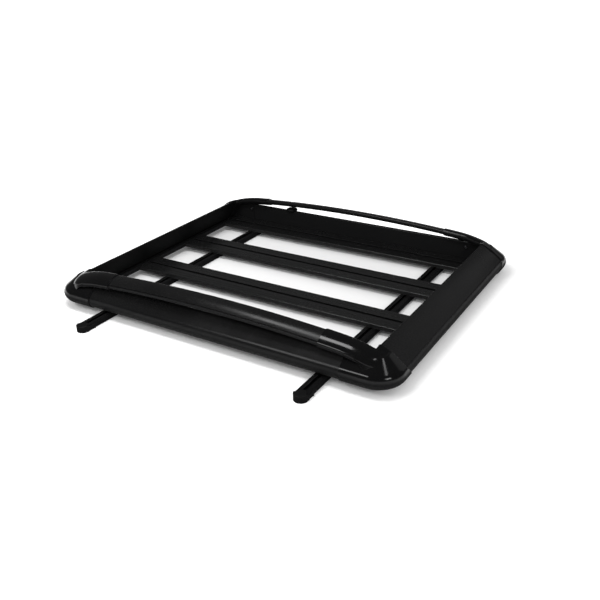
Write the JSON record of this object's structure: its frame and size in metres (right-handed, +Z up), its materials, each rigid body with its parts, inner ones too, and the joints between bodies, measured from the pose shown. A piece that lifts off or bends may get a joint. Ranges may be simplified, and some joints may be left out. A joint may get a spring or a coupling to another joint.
{
  "type": "roof basket",
  "caption": "Black roof basket with grooved floor slats, sloping end panels, arched split side rails, moulded corners and T-slot crossbars.",
  "frame": {"origin": "on the floor below the middle of the basket", "axes": "+X towards the front panel, +Y towards the left side rails, +Z up"},
  "size_m": [1.248, 1.232, 0.1426],
  "materials": {
    "rail_metal": "satin",
    "slat_metal": "satin",
    "crossbar_metal": "satin",
    "corner_plastic": "gloss",
    "cap_plastic": "matte"
  },
  "bodies": {
    "root": {"front_crossbar": "crossbar_metal", "rear_crossbar": "crossbar_metal", "right_outer_slat": "slat_metal", "right_inner_slat": "slat_metal", "left_inner_slat": "slat_metal", "left_outer_slat": "slat_metal", "left_lower_rail": "rail_metal", "right_lower_rail": "rail_metal", "left_upper_rail": "rail_metal", "right_upper_rail": "rail_metal", "front_panel": "rail_metal", "rear_panel": "rail_metal", "front_left_corner": "corner_plastic", "front_right_corner": "corner_plastic", "rear_left_corner": "corner_plastic", "rear_right_corner": "corner_plastic", "front_crossbar_left_cap": "cap_plastic", "front_crossbar_right_cap": "cap_plastic", "rear_crossbar_left_cap": "cap_plastic", "rear_crossbar_right_cap": "cap_plastic"}
  },
  "joints": []
}
